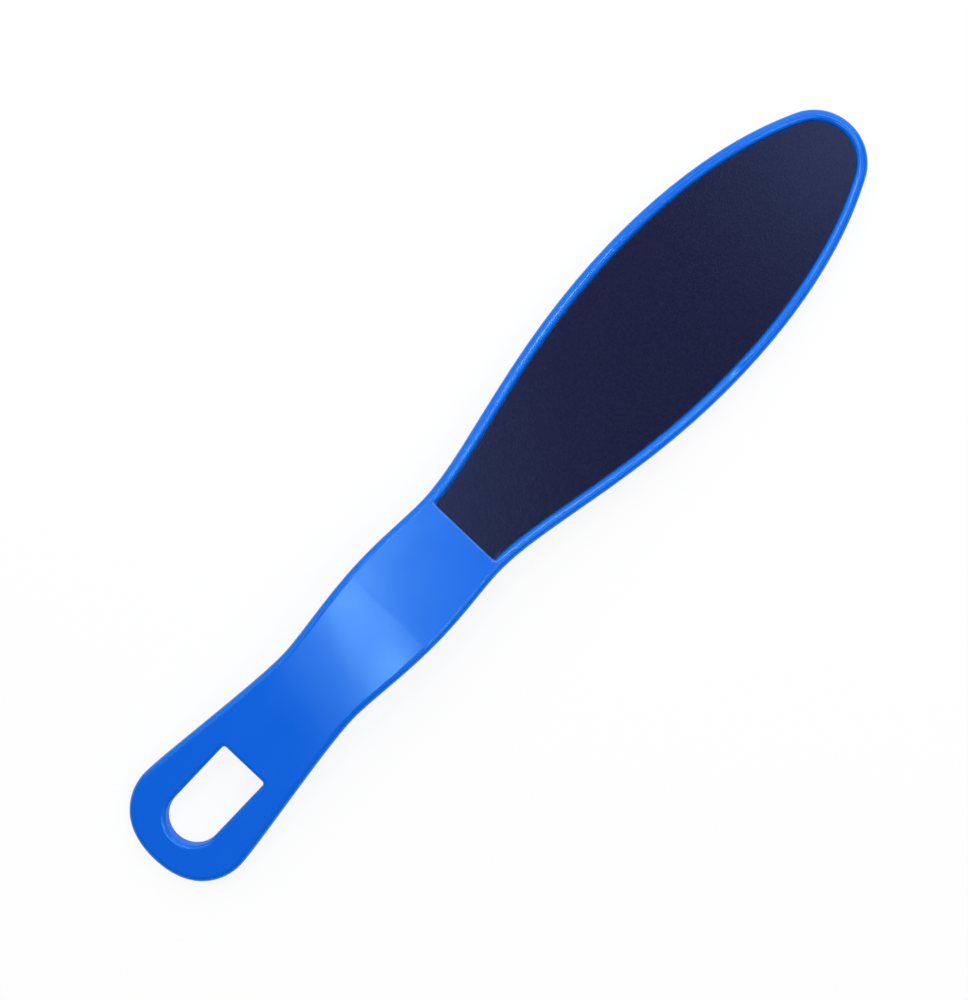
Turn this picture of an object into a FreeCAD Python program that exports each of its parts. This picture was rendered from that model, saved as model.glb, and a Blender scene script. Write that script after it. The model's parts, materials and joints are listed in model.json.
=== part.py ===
import FreeCAD, Part
import math
import os

from FreeCAD import Placement, Rotation, Vector

# Foot file, in millimetres: a moulded plastic paddle with a bent handle and a hanging hole, and an
# abrasive sheet stuck into a shallow pocket on each face.
# It is drawn with x from the end of the handle to the tip of the paddle, y across, and z up from the
# middle of the paddle's thickness. Then it is laid down the way it rests on a table.

# Body: thickness of the moulding and the round along its outer edges
THICKNESS = 5.0
EDGE_ROUND = 1.7

# Outline from above: lengths between the places where the side runs parallel to the axis
END_TO_SWELL = 14.4
SWELL_TO_GRIP = 47.2
GRIP_TO_PALM = 31.1
PALM_TO_NECK = 21.3
NECK_TO_BELLY = 79.9
BELLY_TO_TIP = 66.1

# Outline from above: full width at each of those places, and the radius of the side's curve there
SWELL_WIDTH = 34.2
SWELL_RADIUS = 12.0
GRIP_WIDTH = 24.2
GRIP_RADIUS = 31.0
PALM_WIDTH = 28.7
PALM_RADIUS = 113.0
NECK_WIDTH = 26.65
NECK_RADIUS = 42.0
BELLY_WIDTH = 47.9
BELLY_RADIUS = 198.0

# Outline from above: how far the blunt end of the handle reaches out to each side before it turns,
# and the arc of the tip, its half angle in degrees and the length of the side's run into it
END_REACH = 13.3
TIP_RADIUS = 13.75
TIP_HALF_ANGLE = 66.0
TIP_RUN_IN = 4.8

# Bend of the handle, seen from the side: the grip slopes down from the paddle by this angle in degrees
HANDLE_ANGLE = 11.0
BEND_RADIUS = 190.0
BEND_BEFORE_NECK = 26.5

# Hanging hole, square to the sloping grip: round towards the end of the handle, straight towards the paddle
HOLE_FROM_END = 8.45
HOLE_LENGTH = 26.7
HOLE_WIDTH = 14.2
HOLE_CORNER_ROUND = 0.9
HOLE_EDGE_ROUND = 1.2

# Pocket in each face of the paddle, the rounded rim round it and the round of its straight edge at the neck
POCKET_PAST_NECK = 1.35
POCKET_EDGE_ROUND = 0.4
CREST_LAND = 0.1
RIM_INNER_ROUND = 1.25

# Abrasive sheet in each pocket, from the pocket's floor outwards
SHEET_CLEARANCE = 0.25
SHEET_CORNER_ROUND = 0.4
ADHESIVE_THICKNESS = 0.12
BACKING_THICKNESS = 0.30
GRIT_THICKNESS = 0.35
RIM_ABOVE_GRIT = 0.55

# Room that a cutting shape needs past the face that it cuts
CUT_ROOM = 5.0

# A face counts as level at a height when all of it lies this near to that height
SAME_HEIGHT = 0.001

# How closely an inset side follows the true offset of the body's side
INSET_TOLERANCE = 1e-4

# Places along the axis, from the end of the handle
swell_at = END_TO_SWELL
grip_at = swell_at + SWELL_TO_GRIP
palm_at = grip_at + GRIP_TO_PALM
neck_at = palm_at + PALM_TO_NECK
belly_at = neck_at + NECK_TO_BELLY
tip_at = belly_at + BELLY_TO_TIP
bend_at = neck_at - BEND_BEFORE_NECK
pocket_at = neck_at + POCKET_PAST_NECK

# Heights and widths that follow from the sizes above
half_thickness = THICKNESS / 2
rim_width = EDGE_ROUND + CREST_LAND + RIM_INNER_ROUND
sheet_thickness = ADHESIVE_THICKNESS + BACKING_THICKNESS + GRIT_THICKNESS
pocket_depth = sheet_thickness + RIM_ABOVE_GRIT
pocket_floor = half_thickness - pocket_depth
handle_slope = math.radians(HANDLE_ANGLE)

# Each place where the side runs parallel to the axis: x, half width, radius of the side's curve
handle_stations = [
    (swell_at, SWELL_WIDTH / 2, SWELL_RADIUS),
    (grip_at, GRIP_WIDTH / 2, GRIP_RADIUS),
    (palm_at, PALM_WIDTH / 2, PALM_RADIUS),
    (neck_at, NECK_WIDTH / 2, NECK_RADIUS),
]
paddle_stations = [
    (neck_at, NECK_WIDTH / 2, NECK_RADIUS),
    (belly_at, BELLY_WIDTH / 2, BELLY_RADIUS),
]


def tangent_reach(rise, radius):
    """Length of a cubic's end tangent that bends it to this radius while it rises that far sideways."""
    return math.sqrt(abs(rise) * radius * 2 / 3)


def cubic(points, side):
    """Cubic curve in the drawing plane, on the +y side of the axis (side 1) or the -y side (side -1)."""
    curve = Part.BezierCurve()
    curve.setPoles([Vector(x, side * y, 0) for x, y in points])
    return curve


def side_curves(stations, side):
    """One cubic from each station to the next, with the same radius on both sides of a station."""
    curves = []
    for (x0, y0, radius0), (x1, y1, radius1) in zip(stations, stations[1:]):
        lead_out = x0 + tangent_reach(y1 - y0, radius0)
        lead_in = x1 - tangent_reach(y1 - y0, radius1)
        curves.append(cubic([(x0, y0), (lead_out, y0), (lead_in, y1), (x1, y1)], side))
    return curves


def end_curve(side):
    """Half of the handle's blunt end, from the axis out to the first station."""
    x, y, radius = handle_stations[0]
    lead_in = x - tangent_reach(y - END_REACH, radius)
    return cubic([(0, 0), (0, END_REACH), (lead_in, y), (x, y)], side)


def tip_join():
    """Where the side meets the arc of the tip, and the direction of the side there."""
    angle = math.radians(TIP_HALF_ANGLE)
    point = Vector(tip_at - TIP_RADIUS * (1 - math.cos(angle)), TIP_RADIUS * math.sin(angle), 0)
    direction = Vector(math.sin(angle), -math.cos(angle), 0)
    return point, direction


def flank_curve(side):
    """Side of the paddle from its widest place to the arc of the tip."""
    x, y, radius = paddle_stations[-1]
    join, direction = tip_join()
    before_join = join - direction * TIP_RUN_IN
    lead_out = x + tangent_reach(y - before_join.y, radius)
    return cubic([(x, y), (lead_out, y), (before_join.x, before_join.y), (join.x, join.y)], side)


def tip_arc(inset):
    """Arc of the tip, set in from the body's outline."""
    angle = math.radians(TIP_HALF_ANGLE)
    centre = tip_at - TIP_RADIUS
    radius = TIP_RADIUS - inset
    x = centre + radius * math.cos(angle)
    y = radius * math.sin(angle)
    return Part.Arc(Vector(x, y, 0), Vector(centre + radius, 0, 0), Vector(x, -y, 0))


def face_from_edges(edges):
    return Part.Face(Part.Wire(Part.sortEdges(edges)[0]))


def body_outline():
    """Face of the whole body from above."""
    edges = [tip_arc(0).toShape()]
    for side in (1, -1):
        curves = [end_curve(side), flank_curve(side)]
        curves += side_curves(handle_stations, side)
        curves += side_curves(paddle_stations, side)
        edges += [curve.toShape() for curve in curves]
    return face_from_edges(edges)


def inset_curve(curve, inset, side):
    """The curve set in towards the axis by a fixed distance, as one smooth spline."""
    most_spans = 60
    highest_degree = 5
    offset = Part.OffsetCurve(curve, side * inset, Vector(0, 0, 1))
    return offset.approximateBSpline(INSET_TOLERANCE, most_spans, highest_degree)


def paddle_prism(inset, start, bottom, height):
    """Plate with the paddle's outline set in from the body's, and cut straight across at the neck."""
    edges = [tip_arc(inset).toShape()]
    neck_y = NECK_WIDTH / 2 - inset
    edges.append(Part.makeLine(Vector(neck_at, neck_y, 0), Vector(neck_at, -neck_y, 0)))
    for side in (1, -1):
        for curve in side_curves(paddle_stations, side) + [flank_curve(side)]:
            edges.append(inset_curve(curve, inset, side).toShape())
    behind = Part.makePlane(start, BELLY_WIDTH, Vector(0, -BELLY_WIDTH / 2, 0))
    outline = face_from_edges(edges).cut(behind).Faces[0]
    plate = outline.extrude(Vector(0, 0, height))
    plate.translate(Vector(0, 0, bottom))
    return plate


def is_straight(edge):
    return edge.Curve.TypeId == "Part::GeomLine"


def is_upright(edge):
    return is_straight(edge) and abs(edge.Curve.Direction.z) > abs(edge.Curve.Direction.x)


def bend_point(above, angle):
    """Point on the bend, this high above the moulding's middle and this far round from the paddle."""
    radius = BEND_RADIUS + above
    return Vector(bend_at - radius * math.sin(angle), 0, radius * math.cos(angle) - BEND_RADIUS)


def handle_point(above, x):
    """Point on the sloping grip, this high above the moulding's middle and this far from its end."""
    bend_end = bend_point(above, handle_slope)
    return Vector(x, 0, bend_end.z - (bend_end.x - x) * math.tan(handle_slope))


def ribbon_line(above):
    """Edges of the bent line at this height above the middle of the moulding, and its two ends."""
    first = handle_point(above, -CUT_ROOM)
    last = Vector(tip_at + CUT_ROOM, 0, above)
    paddle_side, middle, grip_side = (bend_point(above, handle_slope * part) for part in (0, 0.5, 1))
    edges = [
        Part.makeLine(first, grip_side),
        Part.Arc(grip_side, middle, paddle_side).toShape(),
        Part.makeLine(paddle_side, last),
    ]
    return edges, first, last


def bent_ribbon():
    """Side view of the moulding, drawn out sideways past the widest outline."""
    top, top_first, top_last = ribbon_line(half_thickness)
    bottom, bottom_first, bottom_last = ribbon_line(-half_thickness)
    ends = [Part.makeLine(top_first, bottom_first), Part.makeLine(top_last, bottom_last)]
    reach = max(SWELL_WIDTH, GRIP_WIDTH, PALM_WIDTH, NECK_WIDTH, BELLY_WIDTH) / 2 + CUT_ROOM
    ribbon = face_from_edges(top + bottom + ends).extrude(Vector(0, 2 * reach, 0))
    ribbon.translate(Vector(0, -reach, 0))
    return ribbon


def body_blank():
    """Body with its outer edges rounded, before the hole and the pockets."""
    lowest = handle_point(-half_thickness, 0).z - CUT_ROOM
    column = body_outline().extrude(Vector(0, 0, half_thickness + CUT_ROOM - lowest))
    column.translate(Vector(0, 0, lowest))
    blank = column.common(bent_ribbon()).Solids[0]
    outer_edges = [edge for edge in blank.Edges if not is_straight(edge)]
    return blank.makeFillet(EDGE_ROUND, outer_edges)


def grip_placement():
    """Carries a plan drawn flat onto the middle of the sloping grip, with its zero at the grip's end."""
    return Placement(handle_point(0, 0), Rotation(Vector(0, 1, 0), -HANDLE_ANGLE))


def hang_hole():
    """Cutting shape of the hole, square through the grip."""
    radius = HOLE_WIDTH / 2
    centre = HOLE_FROM_END + radius
    straight_end = HOLE_FROM_END + HOLE_LENGTH
    round_left = Vector(centre, radius, 0)
    round_right = Vector(centre, -radius, 0)
    straight_left = Vector(straight_end, radius, 0)
    straight_right = Vector(straight_end, -radius, 0)
    edges = [
        Part.Arc(round_left, Vector(HOLE_FROM_END, 0, 0), round_right).toShape(),
        Part.makeLine(round_left, straight_left),
        Part.makeLine(straight_left, straight_right),
        Part.makeLine(straight_right, round_right),
    ]
    hole = face_from_edges(edges).extrude(Vector(0, 0, 2 * THICKNESS))
    corners = [edge for edge in hole.Edges if is_upright(edge) and edge.CenterOfMass.x > centre + radius]
    hole = hole.makeFillet(HOLE_CORNER_ROUND, corners)
    hole.translate(Vector(0, 0, -THICKNESS))
    hole.Placement = grip_placement().multiply(hole.Placement)
    return hole


def pocket_edge_shaving(upper):
    """Cutting shape that rounds the straight edge of the upper or the lower pocket at the neck."""
    length = NECK_WIDTH - 2 * rim_width
    start = Vector(pocket_at - POCKET_EDGE_ROUND, -length / 2, half_thickness - POCKET_EDGE_ROUND)
    bar = Part.makeBox(POCKET_EDGE_ROUND, length, POCKET_EDGE_ROUND, start)
    rod = Part.makeCylinder(POCKET_EDGE_ROUND, length, start, Vector(0, 1, 0))
    shaving = bar.cut(rod)
    return shaving if upper else shaving.mirror(Vector(0, 0, 0), Vector(0, 0, 1))


def is_level_at(face, height):
    box = face.BoundBox
    return abs(box.ZMin - height) < SAME_HEIGHT and abs(box.ZMax - height) < SAME_HEIGHT


def opening_edges(faces):
    """Edges of the openings inside these faces."""
    openings = [wire for face in faces for wire in face.Wires if not wire.isSame(face.OuterWire)]
    return [edge for wire in openings for edge in wire.Edges]


def moulded_body():
    body = body_blank().cut(hang_hole())
    flat_faces = [face for face in body.Faces if face.Surface.TypeId == "Part::GeomPlane"]
    body = body.makeFillet(HOLE_EDGE_ROUND, opening_edges(flat_faces))
    cut_height = pocket_depth + CUT_ROOM
    for bottom in (pocket_floor, -pocket_floor - cut_height):
        body = body.cut(paddle_prism(rim_width, pocket_at, bottom, cut_height))
    for height in (half_thickness, -half_thickness):
        paddle_faces = [face for face in body.Faces if is_level_at(face, height)]
        rim_edges = [edge for edge in opening_edges(paddle_faces) if not is_straight(edge)]
        body = body.makeFillet(RIM_INNER_ROUND, rim_edges)
    body = body.cut(pocket_edge_shaving(upper=True))
    body = body.cut(pocket_edge_shaving(upper=False))
    return body.Solids[0]


def sheet_layer(bottom, thickness):
    """One layer of a sheet, clear of the pocket's walls, with its two corners at the neck rounded."""
    inset = rim_width + SHEET_CLEARANCE
    start = pocket_at + SHEET_CLEARANCE
    layer = paddle_prism(inset, start, bottom, thickness)
    corners = [edge for edge in layer.Edges if is_upright(edge) and edge.CenterOfMass.x < start + inset]
    return layer.makeFillet(SHEET_CORNER_ROUND, corners)


def abrasive_sheets():
    """The three layers of each sheet, on the upper face (front) and on the lower face (back)."""
    layers = {}
    height = pocket_floor
    for name, thickness in (
        ("adhesive_film", ADHESIVE_THICKNESS),
        ("backing_paper", BACKING_THICKNESS),
        ("grit_coat", GRIT_THICKNESS),
    ):
        layers["front_" + name] = sheet_layer(height, thickness)
        layers["back_" + name] = sheet_layer(-height - thickness, thickness)
        height += thickness
    return layers


def rest_placement():
    """Lays the part on the lower edges of its handle's end and of its tip, centred over the origin."""
    end_round = handle_point(-half_thickness, EDGE_ROUND)
    end_round.z += EDGE_ROUND / math.cos(handle_slope)
    round_height = half_thickness - EDGE_ROUND
    tip_round = Vector(tip_at - EDGE_ROUND, 0, -round_height)
    tilt = math.atan2(tip_round.z - end_round.z, tip_round.x - end_round.x)
    turn = Rotation(Vector(0, 1, 0), math.degrees(tilt))
    first_x = turn.multVec(end_round).x
    last_x = turn.multVec(Vector(tip_round.x, 0, round_height)).x
    return Placement(Vector(-(first_x + last_x) / 2, 0, EDGE_ROUND - turn.multVec(tip_round).z), turn)


pieces = {"moulded_body": moulded_body()}
pieces.update(abrasive_sheets())
at_rest = rest_placement()
os.makedirs("parts", exist_ok=True)
for node, shape in pieces.items():
    shape.Placement = at_rest.multiply(shape.Placement)
    shape.exportStep(f"parts/{node}.step")
    print(node, "valid" if shape.isValid() else "NOT valid", f"{shape.Volume:.1f} mm3")
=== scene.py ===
import json
import math

import bpy
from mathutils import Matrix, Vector
from mathutils.bvhtree import BVHTree

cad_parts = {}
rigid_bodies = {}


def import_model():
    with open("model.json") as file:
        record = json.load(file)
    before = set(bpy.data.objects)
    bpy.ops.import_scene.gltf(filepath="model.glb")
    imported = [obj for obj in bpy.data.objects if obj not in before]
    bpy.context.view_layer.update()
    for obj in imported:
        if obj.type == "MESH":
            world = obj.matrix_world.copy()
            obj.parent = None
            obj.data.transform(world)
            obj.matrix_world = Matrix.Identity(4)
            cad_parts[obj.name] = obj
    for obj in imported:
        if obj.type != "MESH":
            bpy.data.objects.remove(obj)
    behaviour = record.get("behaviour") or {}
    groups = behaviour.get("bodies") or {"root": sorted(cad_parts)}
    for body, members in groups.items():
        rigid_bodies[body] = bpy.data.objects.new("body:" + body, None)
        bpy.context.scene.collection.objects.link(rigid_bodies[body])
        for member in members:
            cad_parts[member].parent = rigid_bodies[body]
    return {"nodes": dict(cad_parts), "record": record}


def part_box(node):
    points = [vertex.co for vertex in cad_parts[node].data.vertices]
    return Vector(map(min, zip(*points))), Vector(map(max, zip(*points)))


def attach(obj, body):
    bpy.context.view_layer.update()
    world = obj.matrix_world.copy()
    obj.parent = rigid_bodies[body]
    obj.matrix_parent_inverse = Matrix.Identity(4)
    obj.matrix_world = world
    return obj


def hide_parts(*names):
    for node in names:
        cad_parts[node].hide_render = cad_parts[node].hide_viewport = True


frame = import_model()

# Foot file: blue moulded paddle with a navy abrasive sheet on each side, seen from straight above

nodes = frame["nodes"]
mounts = {mount["name"]: mount for mount in frame["record"]["mounts"]}
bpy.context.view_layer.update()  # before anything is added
mm = 0.001
print("frame loaded:", len(nodes), "CAD nodes")


# Helpers

def linear(hexColour):  # sRGB hex to the linear values that the sockets take
    channels = [int(hexColour[i:i + 2], 16) / 255 for i in (1, 3, 5)]
    return [c / 12.92 if c <= 0.04045 else ((c + 0.055) / 1.055) ** 2.4 for c in channels] + [1.0]


def addNode(tree, kind, inputs=None, **settings):  # a node with its settings, values and links
    node = tree.nodes.new(kind)
    for name, value in settings.items():
        setattr(node, name, value)
    for name, value in (inputs or {}).items():
        if isinstance(value, bpy.types.NodeSocket):
            tree.links.new(value, node.inputs[name])
        else:
            node.inputs[name].default_value = value
    return node


def mixColours(tree, share, first, second):  # share 0 gives the first colour, 1 the second
    mix = addNode(tree, "ShaderNodeMix", {"Factor": share, "A": first, "B": second}, data_type="RGBA")
    return mix.outputs["Result"]


def addNoise(tree, place, size, detail, **inputs):  # noise with blotches of about this size
    noise = addNode(tree, "ShaderNodeTexNoise", {
        "Vector": place, "Scale": 1 / size, "Detail": detail, **inputs,
    })
    return noise.outputs["Fac"]


def emptyMaterial(name):
    material = bpy.data.materials.new(name)
    material.use_nodes = True
    material.node_tree.nodes.clear()
    return material, material.node_tree


def giveMaterial(piece, material):
    piece.data.materials.clear()
    piece.data.materials.append(material)


def startEdit(piece, pick="VERT"):  # edit mode on this piece alone, nothing selected
    bpy.ops.object.select_all(action="DESELECT")
    piece.select_set(True)
    bpy.context.view_layer.objects.active = piece
    bpy.ops.object.mode_set(mode="EDIT")
    bpy.ops.mesh.select_mode(type=pick)
    bpy.ops.mesh.select_all(action="DESELECT")


def endEdit():
    bpy.ops.object.mode_set(mode="OBJECT")


# Grit coats: a skin over each CAD coat, with grains standing out of it

coats = {
    "front_grit_coat": {
        "face": "front_work_face", "slot": "front_grit",
        "spacing": 0.28 * mm,      # from grain to grain
        "grainShare": 0.12,        # of the points, the rest is flat resin
        "grainHeight": 0.008 * mm,
        "overhang": 0.15 * mm,     # the coat is cut a little larger than its paper
        "seed": 3,
    },
    "back_grit_coat": {
        "face": "back_work_face", "slot": "back_grit",
        "spacing": 0.36 * mm,
        "grainShare": 0.35,
        "grainHeight": 0.090 * mm,
        "overhang": 0.15 * mm,
        "seed": 8,
    },
}


def outlineWall(node, axis):  # the upright edge of a CAD coat, without its two faces
    wall = node.copy()
    wall.data = node.data.copy()
    bpy.context.collection.objects.link(wall)
    startEdit(wall, "FACE")
    bpy.ops.mesh.select_all(action="SELECT")
    bpy.ops.mesh.remove_doubles(threshold=0.001 * mm)
    bpy.ops.mesh.select_all(action="DESELECT")
    endEdit()
    for polygon in wall.data.polygons:
        polygon.select = abs(polygon.normal.dot(axis)) > math.cos(math.radians(60))
    bpy.ops.object.mode_set(mode="EDIT")
    bpy.ops.mesh.delete(type="FACE")
    endEdit()
    return wall


def makeCoat(nodeName, coat):
    node = nodes[nodeName]
    face = mounts[coat["face"]]
    axis = Vector(face["axis"])
    low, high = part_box(nodeName)
    tilt = math.atan2(axis.x, axis.z)
    margin = 2 * coat["spacing"]
    length = (high.x - low.x) / abs(math.cos(tilt)) + margin
    width = high.y - low.y + margin
    bpy.ops.object.select_all(action="DESELECT")
    bpy.ops.mesh.primitive_grid_add(
        x_subdivisions=round(length / coat["spacing"]), y_subdivisions=round(width / coat["spacing"]),
        size=1, location=face["pos_m"], rotation=(0, tilt, 0))
    skin = bpy.context.object
    skin.name = nodeName.replace("coat", "skin")
    skin.scale = (length, width, 1)
    bpy.ops.object.transform_apply(location=True, rotation=True, scale=True)

    startEdit(skin)  # what lies outside the CAD outline goes
    endEdit()
    solid = BVHTree.FromObject(node, bpy.context.evaluated_depsgraph_get())
    probe = 1 * mm
    for vertex in skin.data.vertices:
        hit = solid.ray_cast(vertex.co + axis * probe, -axis, 2 * probe)[0]
        vertex.select = hit is None
    bpy.ops.object.mode_set(mode="EDIT")
    bpy.ops.mesh.delete(type="VERT")

    bpy.ops.mesh.select_all(action="SELECT")  # the stepped border is drawn out to the CAD outline
    bpy.ops.mesh.region_to_loop()
    skin.vertex_groups.new(name="border")
    bpy.ops.object.vertex_group_assign()
    endEdit()
    wall = outlineWall(node, axis)
    bpy.context.view_layer.objects.active = skin
    fit = skin.modifiers.new("fitBorder", "SHRINKWRAP")
    fit.target = wall
    fit.wrap_method = "NEAREST_SURFACEPOINT"
    fit.wrap_mode = "ABOVE_SURFACE"
    fit.offset = coat["overhang"]
    fit.vertex_group = "border"
    bpy.ops.object.modifier_apply(modifier="fitBorder")
    bpy.data.objects.remove(wall)

    startEdit(skin)  # the grain, uneven in height
    bpy.ops.mesh.select_random(ratio=coat["grainShare"], seed=coat["seed"])
    bpy.ops.object.vertex_group_deselect()
    bpy.ops.transform.translate(value=axis * coat["grainHeight"])
    bpy.ops.transform.vertex_random(
        offset=coat["grainHeight"] / 2, uniform=0, normal=1, seed=coat["seed"], wait_for_input=False)

    bpy.ops.mesh.select_all(action="SELECT")  # the edge and the underside
    bpy.ops.mesh.region_to_loop()
    thickness = high.z - low.z - abs(math.sin(tilt)) * (length - margin)
    bpy.ops.mesh.extrude_region_move(TRANSFORM_OT_translate={"value": -axis * thickness})
    bpy.ops.mesh.edge_face_add()
    bpy.ops.mesh.select_all(action="SELECT")
    bpy.ops.mesh.normals_make_consistent(inside=False)
    endEdit()
    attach(skin, "root")
    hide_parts(nodeName)
    print(skin.name, len(skin.data.polygons), "faces, thickness", round(thickness / mm, 3))
    return skin


skins = [makeCoat(nodeName, coat) for nodeName, coat in coats.items()]


# Polypropylene, moulded in a polished tool: deep blue, glossy, with slightly wavy reflections

plastic = {
    "colour": "#0F63E1",
    "flowColour": "#1067E7",   # where the melt ran a little thinner
    "flowSize": 35 * mm,
    "litEdgeColour": "#046EE6",   # rounded edges and walls painted brighter and more cyan: painted light for the light they catch
    "flatLevel": 0.97,         # upright part of the normal on a flat face, and on a rounded edge
    "edgeLevel": 0.80,
    "wornAndHighlightColour": "#86A6E2",   # sharp edges, rubbed paler, with a painted highlight line along them
    "wearAndHighlightReach": 0.8 * mm,
    "wearAndHighlightFrom": 0.985,         # likeness of the true normal and the softened one where the rubbed edge and its painted highlight start
    "wearAndHighlightFull": 0.90,
    "wearAndHighlightStrength": 1.3,
    "glossTint": "#A2ECFF",
    "gloss": 0.12,
    "hazyGloss": 0.20,         # handled areas
    "handlingSize": 9 * mm,
    "handledFrom": 0.35,
    "handledFull": 0.75,
    "wallGloss": 0.55,         # upright walls, dulled as they leave the mould
    "wallLevel": 0.15,
    "slopeLevel": 0.45,
    "waveSize": 7 * mm,
    "waveHeight": 0.016 * mm,
    "ior": 1.49,
}


def plasticColour(tree, place, level, handling):
    flow = addNoise(tree, place, plastic["flowSize"], 2.0)
    colour = mixColours(tree, flow, linear(plastic["colour"]), linear(plastic["flowColour"]))
    # Sloped faces and rounded edges are painted a brighter, more cyan blue: painted light standing in for
    # the light they catch
    slope = addNode(tree, "ShaderNodeMapRange", {
        "Value": level, "From Min": plastic["flatLevel"], "From Max": plastic["edgeLevel"],
    })
    paintedLitEdges = mixColours(tree, slope.outputs["Result"], colour, linear(plastic["litEdgeColour"]))
    # Sharp edges painted paler: partly rubbed wear, partly a painted highlight line such as the one along
    # the pocket's straight edge
    softened = addNode(tree, "ShaderNodeBevel", {"Radius": plastic["wearAndHighlightReach"]}, samples=6)
    alike = addNode(tree, "ShaderNodeVectorMath", {
        0: softened.outputs["Normal"], 1: addNode(tree, "ShaderNodeNewGeometry").outputs["Normal"],
    }, operation="DOT_PRODUCT")
    sharp = addNode(tree, "ShaderNodeMapRange", {
        "Value": alike.outputs["Value"], "From Min": plastic["wearAndHighlightFrom"], "From Max": plastic["wearAndHighlightFull"],
        "To Max": plastic["wearAndHighlightStrength"],
    })
    wearAndHighlight = addNode(tree, "ShaderNodeMath", {0: sharp.outputs["Result"], 1: handling}, operation="MULTIPLY")
    return mixColours(tree, wearAndHighlight.outputs[0], paintedLitEdges, linear(plastic["wornAndHighlightColour"]))


def plasticGloss(tree, level, handling):
    gloss = addNode(tree, "ShaderNodeMapRange", {
        "Value": handling, "From Min": plastic["handledFrom"], "From Max": plastic["handledFull"],
        "To Min": plastic["gloss"], "To Max": plastic["hazyGloss"],
    })
    dulled = addNode(tree, "ShaderNodeMapRange", {
        "Value": level, "From Min": plastic["wallLevel"], "From Max": plastic["slopeLevel"],
        "To Min": plastic["wallGloss"], "To Max": gloss.outputs["Result"],
    })
    return dulled.outputs["Result"]


def mouldedPolypropylene():
    material, tree = emptyMaterial("moulded_polypropylene")
    coordinates = addNode(tree, "ShaderNodeTexCoord")
    place = coordinates.outputs["Object"]
    facing = addNode(tree, "ShaderNodeSeparateXYZ", {"Vector": coordinates.outputs["Normal"]})
    level = addNode(tree, "ShaderNodeMath", {0: facing.outputs["Z"]}, operation="ABSOLUTE").outputs[0]
    handling = addNoise(tree, place, plastic["handlingSize"], 4.0, Roughness=0.6)
    wave = addNode(tree, "ShaderNodeBump", {
        "Height": addNoise(tree, place, plastic["waveSize"], 1.0), "Strength": 1.0,
        "Distance": plastic["waveHeight"],
    })
    shader = addNode(tree, "ShaderNodeBsdfPrincipled", {
        "Base Color": plasticColour(tree, place, level, handling),
        "Roughness": plasticGloss(tree, level, handling),
        "Normal": wave.outputs["Normal"], "IOR": plastic["ior"],
        "Specular Tint": linear(plastic["glossTint"]),
    })
    addNode(tree, "ShaderNodeOutputMaterial", {"Surface": shader.outputs["BSDF"]})
    return material


giveMaterial(nodes["moulded_body"], mouldedPolypropylene())
print("moulded body: material")


# Abrasive grain in navy resin: almost black blue with a faint sheen, and paler grains among the dark

grit = {
    "resin": "#151632",
    "paleGrain": "#1B1D3A",
    "glossTint": "#9CB6FF",
    "grainSize": 0.35 * mm,    # real grain is about 0.1 mm, too fine to show
    "roughness": 0.24,
    "specularLevel": 0.25,
    "ior": 1.5,
}


def navyGrit():
    material, tree = emptyMaterial("navy_grit_in_resin")
    place = addNode(tree, "ShaderNodeTexCoord").outputs["Object"]
    grain = addNode(tree, "ShaderNodeTexVoronoi", {"Vector": place, "Scale": 1 / grit["grainSize"]})
    shade = addNode(tree, "ShaderNodeSeparateColor", {"Color": grain.outputs["Color"]})
    colour = mixColours(tree, shade.outputs["Red"], linear(grit["resin"]), linear(grit["paleGrain"]))
    shader = addNode(tree, "ShaderNodeBsdfPrincipled", {
        "Base Color": colour, "Roughness": grit["roughness"], "IOR": grit["ior"],
        "Specular IOR Level": grit["specularLevel"], "Specular Tint": linear(grit["glossTint"]),
    })
    addNode(tree, "ShaderNodeOutputMaterial", {"Surface": shader.outputs["BSDF"]})
    return material


gritMaterial = navyGrit()
for skin in skins:
    giveMaterial(skin, gritMaterial)
print("grit: material")


# Latex-treated backing paper: grey blue, matt, with fibres showing on its cut edge

paper = {"colour": "#3A4260", "fibre": "#56608A", "fibreSize": 0.5 * mm, "roughness": 0.8, "ior": 1.5}


def backingPaper():
    material, tree = emptyMaterial("die_cut_backing_paper")
    place = addNode(tree, "ShaderNodeTexCoord").outputs["Object"]
    fibres = addNoise(tree, place, paper["fibreSize"], 3.0)
    shader = addNode(tree, "ShaderNodeBsdfPrincipled", {
        "Base Color": mixColours(tree, fibres, linear(paper["colour"]), linear(paper["fibre"])),
        "Roughness": paper["roughness"], "IOR": paper["ior"],
    })
    addNode(tree, "ShaderNodeOutputMaterial", {"Surface": shader.outputs["BSDF"]})
    return material


paperMaterial = backingPaper()


# Acrylic adhesive film: a thin smoky layer, tacky and slightly shiny, with small bubbles

adhesive = {"colour": "#5A6478", "bubble": "#7C869A", "bubbleSize": 1.2 * mm, "roughness": 0.35, "ior": 1.47}


def acrylicAdhesive():
    material, tree = emptyMaterial("acrylic_adhesive_film")
    place = addNode(tree, "ShaderNodeTexCoord").outputs["Object"]
    bubbles = addNode(tree, "ShaderNodeTexVoronoi", {"Vector": place, "Scale": 1 / adhesive["bubbleSize"]})
    colour = mixColours(
        tree, bubbles.outputs["Distance"], linear(adhesive["bubble"]), linear(adhesive["colour"]))
    shader = addNode(tree, "ShaderNodeBsdfPrincipled", {
        "Base Color": colour, "Roughness": adhesive["roughness"], "IOR": adhesive["ior"],
    })
    addNode(tree, "ShaderNodeOutputMaterial", {"Surface": shader.outputs["BSDF"]})
    return material


adhesiveMaterial = acrylicAdhesive()
for side in ("front", "back"):
    giveMaterial(nodes[side + "_backing_paper"], paperMaterial)
    giveMaterial(nodes[side + "_adhesive_film"], adhesiveMaterial)
print("sheet layers: materials")


# Camera straight above, turned so that the file points up to the right

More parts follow.
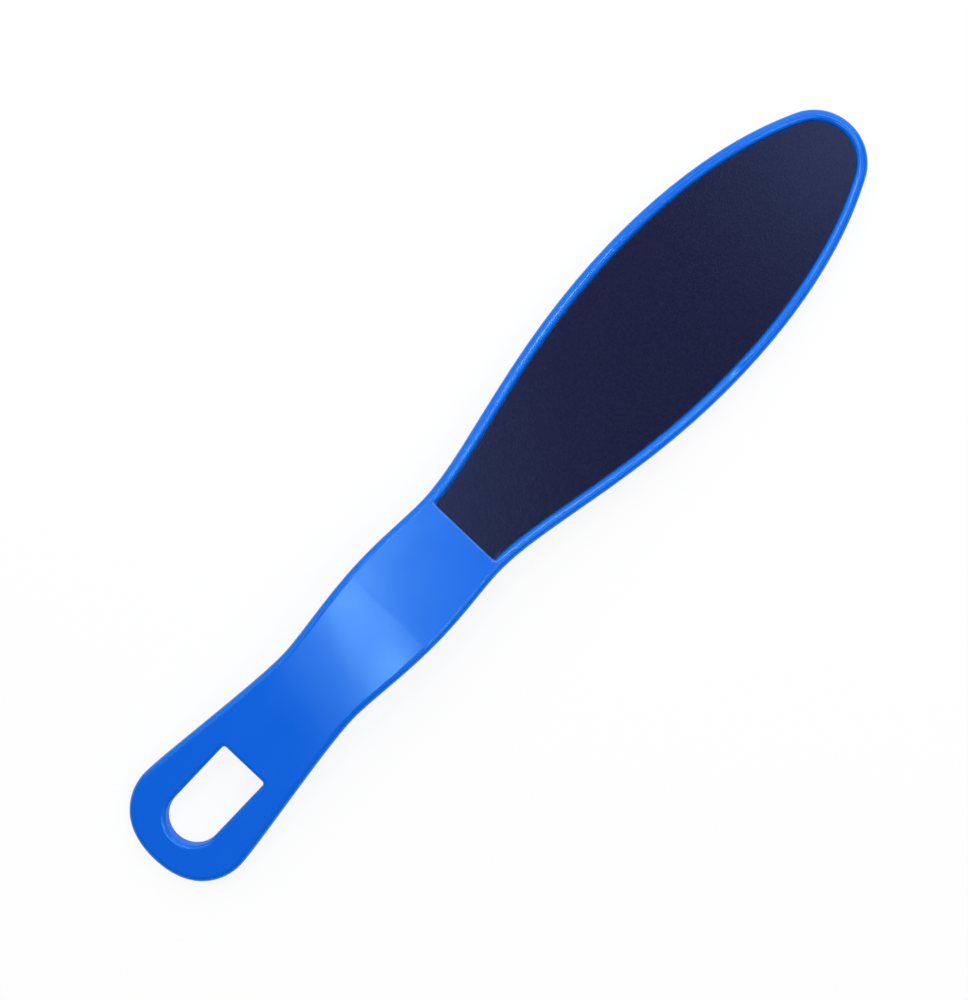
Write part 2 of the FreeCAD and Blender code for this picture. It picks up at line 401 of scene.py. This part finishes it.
view = {
    "turn": 46.53,             # degrees between the file's axis and the image's lower edge
    "over": (-4.8 * mm, 2.0 * mm),  # the point under the camera
    "height": 520 * mm,
    "lens": 72.33,
}
bpy.ops.object.camera_add(
    location=(*view["over"], view["height"]), rotation=(0, 0, -math.radians(view["turn"])))
camera = bpy.context.object
camera.data.lens = view["lens"]
bpy.context.scene.camera = camera
print("camera set")


# Pale floor, white to the camera, with a soft shadow

floor = {"size": 30.0, "colour": "#FCFCFD", "shadowShare": 0.14}


def paleFloor():
    bpy.ops.mesh.primitive_plane_add(size=floor["size"], location=(0, 0, 0))
    plane = bpy.context.object
    plane.name = "floor"
    material, tree = emptyMaterial("pale_floor")
    paint = addNode(tree, "ShaderNodeBsdfDiffuse", {"Color": linear(floor["colour"])})
    white = addNode(tree, "ShaderNodeEmission", {"Color": (1, 1, 1, 1), "Strength": 1.0})
    ray = addNode(tree, "ShaderNodeLightPath")
    mirrored = addNode(tree, "ShaderNodeMath", {
        0: ray.outputs["Is Glossy Ray"], 1: ray.outputs["Is Transmission Ray"],
    }, operation="MAXIMUM")
    seen = addNode(tree, "ShaderNodeMath", {
        0: ray.outputs["Is Camera Ray"], 1: mirrored.outputs[0],
    }, operation="MAXIMUM")
    share = addNode(tree, "ShaderNodeMath", {
        0: seen.outputs[0], 1: 1 - floor["shadowShare"],
    }, operation="MULTIPLY")
    mix = addNode(tree, "ShaderNodeMixShader", {
        0: share.outputs[0], 1: paint.outputs[0], 2: white.outputs[0],
    })
    addNode(tree, "ShaderNodeOutputMaterial", {"Surface": mix.outputs[0]})
    giveMaterial(plane, material)


paleFloor()
print("floor set")


# Soft studio light. Places are metres to the right and up in the image, and above the floor;
# brightness 1 is that of white paper.

panels = {
    "bankBright": {"at": (-0.0575, -0.10, 1.0), "size": (0.065, 0.70), "brightness": 8.7},
    "bankBroad": {"at": (-0.11, -0.10, 1.0), "size": (0.04, 0.70), "brightness": 7.6},
    "bankMiddle": {"at": (-0.16, -0.10, 1.0), "size": (0.06, 0.70), "brightness": 2.4},
    "bankDim": {"at": (-0.245, -0.10, 1.0), "size": (0.11, 0.70), "brightness": 1.2},
    "bankEdge": {"at": (-0.01, -0.10, 1.0), "size": (0.03, 0.70), "brightness": 2.2},
    "overhead": {"at": (0.0375, -0.10, 1.0), "size": (0.065, 0.70), "brightness": 1.1},
    "crestPanel": {"at": (-0.19, 0.47, 1.0), "size": (0.24, 0.17), "brightness": 13.0},
    "crestRight": {"at": (0.485, -0.17, 1.0), "size": (0.16, 0.16), "brightness": 9.0},
    "edgeLeft": {"at": (-0.335, 0.31, 1.0), "size": (0.13, 0.13), "brightness": 7.5},
    "edgeRight": {"at": (0.335, -0.31, 1.0), "size": (0.13, 0.13), "brightness": 7.5},
    "tipPanel": {"at": (0.43, 0.44, 1.0), "size": (0.28, 0.30), "brightness": 6.2},
    "topPanel": {"at": (0.35, 0.95, 0.60), "size": (1.3, 0.9), "brightness": 1.5, "aimed": True},
    "leftPanel": {"at": (-0.60, 0.56, 0.65), "size": (1.0, 0.75), "brightness": 1.3, "aimed": True},
    "rightPanel": {"at": (0.69, -0.27, 0.85), "size": (1.3, 0.5), "brightness": 1.1, "aimed": True},
}


def addPanel(name, panel):
    turn = math.radians(view["turn"])
    right, up, height = panel["at"]
    x = right * math.cos(turn) + up * math.sin(turn)
    y = up * math.cos(turn) - right * math.sin(turn)
    bpy.ops.object.light_add(type="AREA", location=(x, y, height), rotation=(0, 0, -turn))
    light = bpy.context.object
    light.name = name
    light.data.shape = "RECTANGLE"
    light.data.size, light.data.size_y = panel["size"]
    light.data.energy = math.pi * panel["size"][0] * panel["size"][1] * panel["brightness"]
    if panel.get("aimed"):
        light.rotation_euler = (-light.location).to_track_quat("-Z", "Y").to_euler()


for name, panel in panels.items():
    addPanel(name, panel)

roomBrightness = 0.07          # what the walls give back
world = bpy.data.worlds.new("studio")
world.use_nodes = True
background = world.node_tree.nodes["Background"]
background.inputs["Color"].default_value = (1, 1, 1, 1)
background.inputs["Strength"].default_value = roomBrightness
bpy.context.scene.world = world
bpy.context.scene.view_settings.view_transform = "Standard"
print("lights set")
